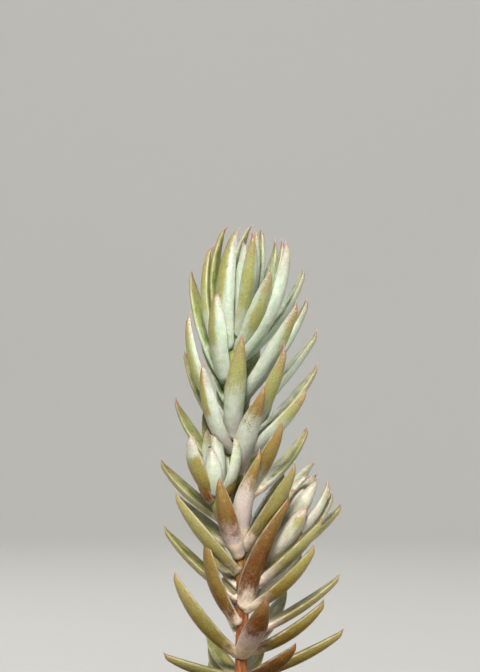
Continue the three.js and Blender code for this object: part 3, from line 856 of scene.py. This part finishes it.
# Leaf colours: bloom from pink-white over mint and lavender to cream, sun-warmed skin from mint over
# olive to rust, then what lies on them and the upper face
MINT = (172, 186, 166)
BLOOM = [
    (0.0, (194, 178, 166)), (0.12, MINT), (0.3, (188, 192, 180)), (0.6, (200, 180, 172)),
    (0.8, (242, 220, 196)),
]
WARM_SKIN = [
    (0.08, MINT), (0.34, (136, 138, 64)), (0.62, (126, 108, 44)), (0.86, (114, 82, 30)),
    (1.0, (100, 54, 16)),
]
WAX_WHITE = (198, 192, 184)
LEAF_GREEN = (152, 174, 122)
PALE_FLECK_AND_GLINT = (206, 194, 150)
DOT_OLIVE = (92, 84, 36)
DOT_RED = (72, 36, 22)
TIP_RED = (150, 86, 76)
TIP_PINK = (214, 172, 162)
PALE_MARGIN_AND_HIGHLIGHT = (214, 210, 190)
# Upper face: vivid green when young; the darker green of older leaves and the dark olive of warm ones are
# painted shade
VIVID_GREEN = (102, 126, 40)
UPPER_GREEN_WITH_PAINTED_SHADE = (100, 102, 46)
PALE_GREEN = (146, 150, 104)
SHADE_OLIVE = (94, 86, 34)


class LeafNodes(Nodes):
    """A leaf's nodes, with the textures that its layers share."""

    def __init__(self, name):
        super().__init__(name)
        self.patches = self.noise(1.6, 4, 0.6)
        self.fine = self.noise(0.3, 3, 0.7)
        self.grain = self.noise(0.12, 2, 0.6)
        self.veins = self.node("ShaderNodeTexNoise", {
            "Vector": self.node("ShaderNodeCombineXYZ", {
                "X": "sideways", "Y": self.times("lengthways", 0.16),
                "Z": self.times("tone", 40.0),
            }),
            "Scale": 3.2, "Detail": 3.0, "Roughness": 0.6,
        })
        self.drift = self.add(
            self.swing(self.patches, 0.5), self.swing(self.fine, 0.22), self.swing(self.veins, 0.4),
        )
        mottle = self.between(self.cells(0.26), (0.12, 0.45), (0.74, 1.1))
        mottle = self.add(mottle, self.swing(self.grain, 0.1), self.swing(self.veins, 0.12))
        # Older leaves are up to 7% darker in their mottled skin and upper face, as painted shade
        self.mottle = self.times(mottle, self.between("age", (0.15, 0.6), (1.0, 0.93)))


def warm_skin(n):
    """The sun-warmed skin: its hue, mottled in fine cells and a little darker on older leaves as painted
    shade, streaked along and flecked pale, partly with wax and partly as painted glints.
    """
    warmth = n.add("warmth", n.swing(n.patches, 0.1), n.swing(n.veins, 0.06))
    # Pale flecks, partly wax and partly painted glints
    fleck = n.times(n.between(n.grain, (0.58, 0.7)), n.between(n.veins, (0.45, 0.65), (0.12, 0.6)))
    return n.mix(fleck, n.shaded(n.ramp(warmth, WARM_SKIN), n.mottle), PALE_FLECK_AND_GLINT)


def bloom(n):
    """The pale bloom, faintly netted, with thicker wax in places and bare green in others."""
    wax = n.add(n.noise(0.9, 3, 0.6), n.swing(n.veins, 0.1))
    wax = n.between(wax, (0.46, 0.64), (0.0, 0.55))
    ground = n.mix(wax, n.ramp("ground", BLOOM), WAX_WHITE)
    bare = n.add(n.noise(1.1, 3, 0.6), n.swing(n.veins, 0.12))
    bare = n.between(bare, (0.5, 0.68), (0.0, 0.45))
    bare = n.times(bare, n.between("ground", (0.2, 0.5), (1.0, 0.0)))
    ground = n.mix(bare, ground, LEAF_GREEN)
    net = n.add(n.between(n.cells(0.26), (0.1, 0.45), (0.9, 1.04)), n.swing(n.veins, 0.06))
    return n.shaded(ground, net)


def ragged_cover(n):
    """How far the warm skin covers the bloom, with a soft, ragged edge where the two meet."""
    raggedness = n.times("cover", n.math("SUBTRACT", 1.1, "cover"))
    ragged = n.math("MULTIPLY_ADD", n.drift, n.times(raggedness, 1.8), "cover")
    return n.times(n.between(ragged, (0.0, 1.0)), n.between("warmth", (0.35, 0.65), (0.88, 1.0)))


def with_dots(n, colour):
    """Dark dots, thickest where the two skins meet, and redder on warm leaves and tips."""
    reach = n.math("MULTIPLY_ADD", "dots", 0.24, n.swing(n.patches, 0.08))
    dot = n.between(n.math("SUBTRACT", n.cells(0.25), reach), (-0.06, 0.12), (1.0, 0.0))
    redness = n.math("MULTIPLY_ADD", "blush", 1.2, "warmth")
    dot_colour = n.mix(n.between(redness, (0.35, 0.8)), DOT_OLIVE, DOT_RED)
    return n.mix(n.times(dot, n.between("dots", (0.1, 0.8), (0.0, 0.8))), colour, dot_colour)


def with_upper_face(n, colour):
    """The upper face stays green: vivid on young leaves, and darker, olive and with fewer pale streaks on
    older and warmer ones, which is painted shade.
    """
    fresh = n.mix(n.between("age", (0.1, 0.35)), VIVID_GREEN, UPPER_GREEN_WITH_PAINTED_SHADE)
    fresh = n.mix(n.between("warmth", (0.35, 1.0)), fresh, SHADE_OLIVE)
    pale = n.between(n.add(n.veins, n.swing(n.patches, 0.2)), (0.36, 0.62), (0.05, 0.8))
    # Fewer pale streaks on older leaves, as painted shade
    pale = n.times(pale, n.between("age", (0.35, 0.75), (1.0, 0.35)))
    fresh = n.shaded(n.mix(pale, fresh, PALE_GREEN), n.mottle)
    return n.mix(n.times("inner", n.between(n.drift, (-0.6, 0.6), (0.9, 0.35))), colour, fresh)


def with_tip_and_margin(n, colour):
    """A blushing tip with a pink point, and thin pale margins, partly the leaf's own pale edge and partly a
    painted highlight.
    """
    colour = n.mix(n.times("blush", n.between(n.fine, (0.4, 0.58), (0.25, 1.0))), colour, TIP_RED)
    colour = n.mix(n.times("point", 0.8), colour, TIP_PINK)
    # The pale margin is partly a painted highlight along the leaf's edges
    margin = n.times("edge", n.between(n.patches, (0.35, 0.65), (0.15, 0.6)))
    return n.mix(margin, colour, PALE_MARGIN_AND_HIGHLIGHT)


def leaf_material():
    """A waxy leaf: pale bloom over green, sun-warmed above, with fine dots."""
    n = LeafNodes("stonecrop_leaf")
    colour = n.mix(ragged_cover(n), bloom(n), warm_skin(n))
    colour = with_tip_and_margin(n, with_upper_face(n, with_dots(n, colour)))
    shade = n.add(n.swing(n.grain, 0.05), n.swing("tone", 0.05))
    shade = n.add(shade, 0.98, n.swing(n.patches, 0.08))
    relief = n.add(n.between(n.cells(0.3), (0.0, 0.5), (0.6, 0.0)), n.fine, n.veins)
    return n.finish(
        Base_Color=n.shaded(colour, shade), Roughness=n.between(n.fine, NOISE, (0.26, 0.44)),
        Normal=n.bump(relief, 0.7, 0.06, n.bump(n.patches, 0.5, 0.2)), Subsurface_Weight=0.1,
        Subsurface_Radius=(1.0, 0.85, 0.4), Subsurface_Scale=0.6 * METRES, IOR=1.42,
    )


# Stem colours, from dark to pale
WOOD = [(0.3, (82, 40, 12)), (0.5, (130, 70, 26)), (0.7, (176, 118, 68))]
STEM_GREEN = [(0.3, (104, 112, 46)), (0.7, (160, 168, 92))]


def stem_material():
    """A streaked stem: pinkish brown low down and green towards the top."""
    n = Nodes("stonecrop_stem")
    drawn_out = n.node("ShaderNodeMapping", {"Vector": n.place(), "Scale": (1, 1, 0.22)})
    streaks = n.noise(0.35, 4, 0.6, drawn_out)
    return n.finish(
        Base_Color=n.mix("warmth", n.ramp(streaks, WOOD), n.ramp(streaks, STEM_GREEN)),
        Roughness=n.between(streaks, NOISE, (0.5, 0.68)),
        Normal=n.bump(streaks, 0.6, 0.06), Subsurface_Weight=0.12,
        Subsurface_Radius=(1.0, 0.5, 0.25), Subsurface_Scale=0.6 * METRES,
    )


# Soil: rings hidden in the pot, by radius and height, those of its surface, and waves by pace, height
# and heading
SOIL_RINGS = 46
SOIL_SIDES = 144
SOIL_MIDDLE = 0.5
SOIL_EDGE = SOIL_TOP - SOIL_DOME
HIDDEN_SOIL = [(0.01, 3.8), (14.2, 3.8), (17, 20)]
HIDDEN_SOIL_TOP = 37.9
SOIL_ROUGHNESS = 0.28
WAVES = [(0.45 * 1.55**k, 0.5 * 0.72**k, rng.uniform(0, FULL_TURN)) for k in range(8)]

# Grains: stones and crumbs of peat, most of them small
GRAINS = 620
GRAIN_SIZES = (0.35, 1.5)
GRAIN_SIZE_CURVE = 2.6
GRAIN_EDGE_GAP = 0.4
GRAIN_AREAS = (0.006, 1)
GRAIN_RISE = (-0.1, 0.35)
FINER_BALL_FROM = 0.7
STONE_SHARE = 0.4
GRAIN_CUTS = 7
GRAIN_CUT_REACH = (0.55, 0.85)
GRAIN_CUT_SHARE = 0.9
GRAIN_STRETCH = (0.6, 1.15)


def inner_radius(height):
    """Radius of the pot's inside at a height, as in the solids."""
    bottom = POT_FOOT_RADIUS - POT_WALL
    top = POT_RIM_RADIUS - POT_RIM_STEP - POT_WALL + POT_BAND_TAPER
    return bottom + (top - bottom) * (height - POT_FLOOR) / (POT_HEIGHT - POT_FLOOR)


def lumps(x, y):
    """Uneven ground: a few layers of seeded waves."""
    total = np.zeros_like(x)
    for pace, reach, turn in WAVES:
        total += reach * np.sin(pace * (x * math.cos(turn) + y * math.sin(turn)) + 5 * turn)
    return total


def soil_height(x, y):
    """The soil's surface: a low uneven dome, heaped round the stem."""
    dome = SOIL_EDGE + SOIL_DOME * (1 - (x * x + y * y) / inner_radius(SOIL_EDGE) ** 2)
    return dome + SOIL_ROUGHNESS * lumps(x, y)


def ball(subdivisions):
    """Points and faces of a ball of triangles."""
    made = bmesh.new()
    bmesh.ops.create_icosphere(made, subdivisions=subdivisions, radius=1)
    points = np.array([v.co for v in made.verts])
    faces = [tuple(v.index for v in f.verts) for f in made.faces]
    made.free()
    return points, faces


def grain(points):
    """A ball turned into a stone or crumb: cut flat from a few sides and stretched."""
    made = points.copy()
    for _ in range(GRAIN_CUTS):
        side = rng.normal(size=3)
        side /= np.linalg.norm(side)
        over = np.maximum(made @ side - rng.uniform(*GRAIN_CUT_REACH), 0)
        made -= np.outer(over * GRAIN_CUT_SHARE, side)
    made *= rng.uniform(*GRAIN_STRETCH, 3)
    turn = np.linalg.qr(rng.normal(size=(3, 3)))[0]
    if np.linalg.det(turn) < 0:
        turn[:, 0] *= -1
    return made @ turn.T


def add_grain(skins, balls, reach):
    """One grain at a random place on the soil, within a reach of the middle."""
    size = blend(*GRAIN_SIZES, rng.uniform() ** GRAIN_SIZE_CURVE)
    radius = (reach - size) * math.sqrt(rng.uniform(*GRAIN_AREAS))
    turn = rng.uniform(0, FULL_TURN)
    x, y = radius * math.cos(turn), radius * math.sin(turn)
    height = float(soil_height(np.array(x), np.array(y))) + size * rng.uniform(*GRAIN_RISE)
    points, faces = balls[size > FINER_BALL_FROM]
    points = grain(points) * size + (x, y, height)
    skins.add(points, faces, tone=rng.uniform(0, 1), stone=float(rng.uniform() < STONE_SHARE))


def build_soil(material):
    """The soil's surface, closed inside the pot, with loose grains on it."""
    skins = Skins(("tone", "stone"))
    angles = ring_angles(SOIL_SIDES)
    edge = inner_radius(SOIL_EDGE) - GAP
    rings = [level_ring(angles, *ring) for ring in [*HIDDEN_SOIL, (edge, HIDDEN_SOIL_TOP)]]
    for radius in np.linspace(edge, SOIL_MIDDLE, SOIL_RINGS):
        height = soil_height(radius * np.cos(angles), radius * np.sin(angles))
        rings.append(level_ring(angles, radius, height))
    skins.add(*skin_over(rings), tone=0.25)
    balls = [ball(1), ball(2)]
    for _ in range(GRAINS):
        add_grain(skins, balls, edge - GRAIN_EDGE_GAP)
    return skins.piece("gritty_soil", [material])


# Soil colours
PEAT = [(0.35, (38, 27, 19)), (0.55, (66, 48, 34)), (0.8, (104, 80, 58))]
STONE = [
    (0.0, (108, 96, 84)), (0.3, (150, 136, 118)), (0.55, (186, 174, 154)), (0.8, (208, 200, 184)),
    (1.0, (126, 84, 60)),
]
STONE_DUST = (92, 74, 58)


def soil_material():
    """Dark crumbly peat with dusty stones of many tones."""
    n = Nodes("gritty_soil")
    fine = n.noise(0.35, 4, 0.65)
    peat = n.ramp(n.add(fine, n.times("tone", 0.25)), PEAT)
    dust = n.between(fine, (0.35, 0.7), (0.0, 0.5))
    stone = n.mix(dust, n.ramp("tone", STONE), STONE_DUST)
    return n.finish(
        Base_Color=n.mix("stone", peat, stone),
        Roughness=n.between(fine, NOISE, (0.82, 0.98)),
        Normal=n.bump(n.noise(0.2, 4, 0.7), 0.9, 0.12),
    )


# Pot: the solid's profile with how far each corner is rounded, then waves for the rings that turning
# leaves and for an outline that isn't quite round
POT_LIP = POT_HEIGHT - POT_EDGE
POT_BAND_FOOT = POT_HEIGHT - POT_RIM_HEIGHT
POT_WALL_RADIUS = POT_RIM_RADIUS - POT_RIM_STEP
POT_SLOPE = (POT_WALL_RADIUS - POT_FOOT_RADIUS) / POT_BAND_FOOT
POT_PROFILE = [
    (DRAIN_RADIUS, 0, 0.3),
    (POT_FOOT_RADIUS - POT_EDGE, 0, 0.5),
    (POT_FOOT_RADIUS + POT_SLOPE * POT_EDGE, POT_EDGE, 0.5),
    (POT_WALL_RADIUS, POT_BAND_FOOT, 0.35),
    (POT_RIM_RADIUS - POT_BAND_TAPER, POT_BAND_FOOT + POT_EDGE, 0.5),
    (POT_RIM_RADIUS, POT_LIP, 0.7),
    (POT_RIM_RADIUS - POT_EDGE, POT_HEIGHT, 0.6),
    (inner_radius(POT_HEIGHT) + POT_EDGE, POT_HEIGHT, 0.6),
    (inner_radius(POT_LIP), POT_LIP, 0.5),
    (inner_radius(POT_FLOOR), POT_FLOOR, 0.8),
    (DRAIN_RADIUS, POT_FLOOR, 0.4),
]
POT_SIDES = 160
TURNING_RINGS = [(2.6, 0.035, 0), (6.1, 0.025, 0)]
POT_LOBES = [(2, 0.05, 0), (5, 0.03, 0.1)]
POT_SUNK = 0.08


def rounded(profile, steps=5, longest=1.2, most=0.45):
    """The closed outline of a profile as close points. A rounding takes up a share of a side at most."""
    corners = [np.array(place[:2], float) for place in profile]
    bent = []
    for i, corner in enumerate(corners):
        before, after = corners[i - 1] - corner, corners[(i + 1) % len(corners)] - corner
        rounding = profile[i][2]
        start = corner + before * min(rounding / np.linalg.norm(before), most)
        end = corner + after * min(rounding / np.linalg.norm(after), most)
        for t in np.linspace(0, 1, steps):
            bent.append((1 - t) ** 2 * start + 2 * t * (1 - t) * corner + t * t * end)
    outline = []
    for i, point in enumerate(bent):
        onward = bent[(i + 1) % len(bent)] - point
        parts = max(1, math.ceil(np.linalg.norm(onward) / longest))
        outline += [point + onward * k / parts for k in range(parts)]
    return np.array(outline)


def build_pot(material):
    """A thrown clay pot, very slightly uneven, with faint turning rings."""
    outline = rounded(POT_PROFILE)
    angles = ring_angles(POT_SIDES)
    phases = rng.uniform(0, FULL_TURN, 4)
    radius, height = outline[:, :1], outline[:, 1:]
    uneven = waves(TURNING_RINGS, phases, height) + waves(POT_LOBES, phases[2:], angles, height)
    above_foot, off_drain = smooth(0.5, 1.5, height), smooth(5, 8, radius)
    radius = radius - above_foot * off_drain * (POT_SUNK + uneven)
    skins = Skins(("height",))
    skins.add(
        level_ring(angles, radius, height).reshape(-1, 3),
        faces_between(len(outline), POT_SIDES, closed=True),
        height=np.repeat(outline[:, 1] / POT_HEIGHT, POT_SIDES),
    )
    return skins.piece("clay_pot", [material])


# Clay colours
CLAY = [(0.32, (148, 78, 46)), (0.5, (178, 100, 62)), (0.68, (198, 124, 84))]
CLAY_DAMP = (120, 66, 42)
LIME = (222, 206, 188)


def clay_material():
    """Fired clay with a dusty bloom of lime, darker low down where it stays damp."""
    n = Nodes("fired_clay")
    broad = n.noise(14, 4, 0.6)
    medium = n.noise(2.4, 4, 0.6)
    fine = n.noise(0.35, 3, 0.6)
    clay = n.ramp(n.add(n.times(medium, 0.6), n.times(fine, 0.4)), CLAY)
    damp = n.mix(n.between("height", (0.45, 0.05), (0.0, 0.45)), clay, CLAY_DAMP)
    lime = n.between(n.add(broad, n.times(fine, 0.25)), (0.56, 0.78))
    lime = n.times(lime, n.between(medium, (0.35, 0.6), (0.3, 1.0)))
    pits = n.between(n.cells(0.9), (0.05, 0.2))
    return n.finish(
        Base_Color=n.mix(n.times(lime, 0.42), damp, LIME),
        Roughness=n.between(fine, NOISE, (0.78, 0.95)),
        Normal=n.bump(n.add(n.times(pits, 0.25), fine), 0.5, 0.1, n.bump(medium, 0.3, 0.2)),
    )


plant_skins = [leaf_material(), stem_material()]
for piece, node, slot in (
    (build_main_shoot(plant_skins), "main_shoot", "leaf"),
    (build_side_shoot("left_young_shoot", LEFT_SIDE_SHOOT, plant_skins), "left_side_shoot", "young_leaf"),
    (build_side_shoot("right_young_shoot", RIGHT_SIDE_SHOOT, plant_skins), "right_side_shoot", "young_leaf"),
    (build_soil(soil_material()), "soil", "soil"),
    (build_pot(clay_material()), "pot", "clay"),
):
    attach(piece, "root")
    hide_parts(node)

# Studio, in metres: a pale floor that rises all round into a backdrop
PAPER = (192, 191, 187)
STUDIO_SIDES = 96
FLOOR_RINGS = (0.0005, 0.2, 0.5, 1.0)
SWEEP_RADIUS = 0.5
SWEEP_TURNS = np.radians(np.linspace(6, 90, 15))
WALL_TOP = 1.6

# Lights: the place, what it points at, the size, the power in watts and the colour
MIDDLE = (0, 0, 0.09)
BACKDROP = (0, 1.45, 0.3)
WHITE = (1.0, 1.0, 1.0)
LIGHTS = {
    "key": ((-0.06, -0.6, 0.52), MIDDLE, 0.18, 8.4, (1.0, 0.98, 0.95)),
    "fill": ((0.55, -0.55, 0.35), MIDDLE, 0.5, 2.2, (0.94, 0.97, 1.0)),
    "rim": ((-0.45, 0.6, 0.6), MIDDLE, 0.4, 2, WHITE),
    "ceiling": ((0, 0, 1.5), MIDDLE, 1.4, 3.5, WHITE),
    "backdrop": ((0, 0.45, 1.0), BACKDROP, 0.5, 6.5, WHITE),
}
AIR = (0.9, 0.93, 1.0, 1)
SENSOR = 36


def build_studio():
    n = Nodes("studio_paper")
    paper = n.finish(Base_Color=PAPER, Roughness=0.9, Normal=n.bump(n.noise(3, 3, 0.55), 0.1, 0.1))
    profile = [(radius, 0) for radius in FLOOR_RINGS]
    for turn in SWEEP_TURNS:
        radius = FLOOR_RINGS[-1] + SWEEP_RADIUS * math.sin(turn)
        profile.append((radius, SWEEP_RADIUS * (1 - math.cos(turn))))
    profile.append((FLOOR_RINGS[-1] + SWEEP_RADIUS, WALL_TOP))
    angles = ring_angles(STUDIO_SIDES)
    points = np.concatenate([level_ring(angles, *place) for place in profile])
    studio = mesh_piece("studio", points, faces_between(len(profile), STUDIO_SIDES), [paper])


def light_area(name, place, target, size, power, colour):
    light = bpy.data.lights.new(name, "AREA")
    light.shape = "DISK"
    light.size = size
    light.energy = power
    light.color = colour
    made = bpy.data.objects.new(name, light)
    made.location = place
    made.rotation_euler = (Vector(target) - Vector(place)).to_track_quat("-Z", "Y").to_euler()
    bpy.context.scene.collection.objects.link(made)


def fill_air():
    """A little light from all round."""
    world = bpy.data.worlds.new("studio_air")
    world.use_nodes = True
    background = world.node_tree.nodes["Background"]
    background.inputs["Color"].default_value = AIR
    background.inputs["Strength"].default_value = 0.1
    bpy.context.scene.world = world


def place_camera():
    """A level camera at the eye, with the picture's height in its frame at the stem."""
    data = bpy.data.cameras.new("camera")
    data.sensor_width = SENSOR
    data.lens = SENSOR * CAMERA_AWAY / PICTURE_HEIGHT
    data.clip_start = 0.01
    camera = bpy.data.objects.new("camera", data)
    camera.location = EYE * METRES
    camera.rotation_euler = (math.pi / 2, 0, 0)
    bpy.context.scene.collection.objects.link(camera)
    bpy.context.scene.camera = camera


build_studio()
for name, light in LIGHTS.items():
    light_area(name, *light)
fill_air()
place_camera()
bpy.context.scene.view_settings.view_transform = "Standard"
